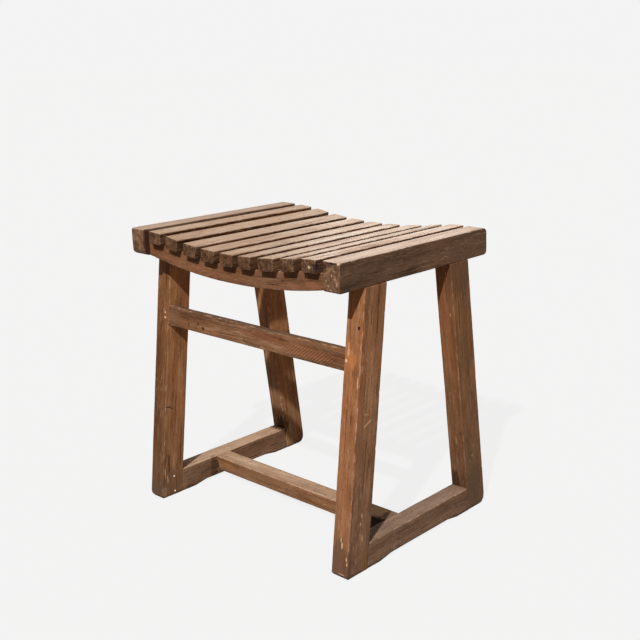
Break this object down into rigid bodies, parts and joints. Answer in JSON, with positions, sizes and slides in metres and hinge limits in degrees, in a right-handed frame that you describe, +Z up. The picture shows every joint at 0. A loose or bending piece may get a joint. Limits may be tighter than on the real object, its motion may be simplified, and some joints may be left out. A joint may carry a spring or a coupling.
{
  "type": "stool",
  "caption": "Low wooden stool with a dished slatted seat on two splayed side frames, joined by a low cross bar and an upper bar at the front.",
  "frame": {"origin": "on the floor, under the middle of the seat", "axes": "+X across the slats towards the right side frame, +Y along the slats towards the back (the upper stretcher is at the front, -Y), +Z up"},
  "size_m": [0.442, 0.328, 0.45],
  "materials": {
    "seat_wood": "worn bare teak, pale on top",
    "rail_wood": "dark weathered teak, pale on top",
    "frame_wood": "old oiled teak, worn",
    "steel": "dull worn steel"
  },
  "bodies": {
    "root": {"seat_slat_1": "seat_wood", "seat_slat_2": "seat_wood", "seat_slat_3": "seat_wood", "seat_slat_4": "seat_wood", "seat_slat_5": "seat_wood", "seat_slat_6": "seat_wood", "seat_slat_7": "seat_wood", "seat_slat_8": "seat_wood", "seat_slat_9": "seat_wood", "outer_rail_left": "rail_wood", "outer_rail_right": "rail_wood", "bearer_front": "frame_wood", "bearer_back": "frame_wood", "leg_front_left": "frame_wood", "leg_front_right": "frame_wood", "leg_back_left": "frame_wood", "leg_back_right": "frame_wood", "bottom_rail_left": "frame_wood", "bottom_rail_right": "frame_wood", "upper_stretcher": "frame_wood", "cross_stretcher": "frame_wood", "foot_pins_front_left": "steel", "foot_pins_front_right": "steel", "foot_pins_back_left": "steel", "foot_pins_back_right": "steel", "upper_stretcher_pins_left": "steel", "upper_stretcher_pins_right": "steel", "slat_screws_front": "steel", "slat_screws_back": "steel"}
  },
  "joints": []
}
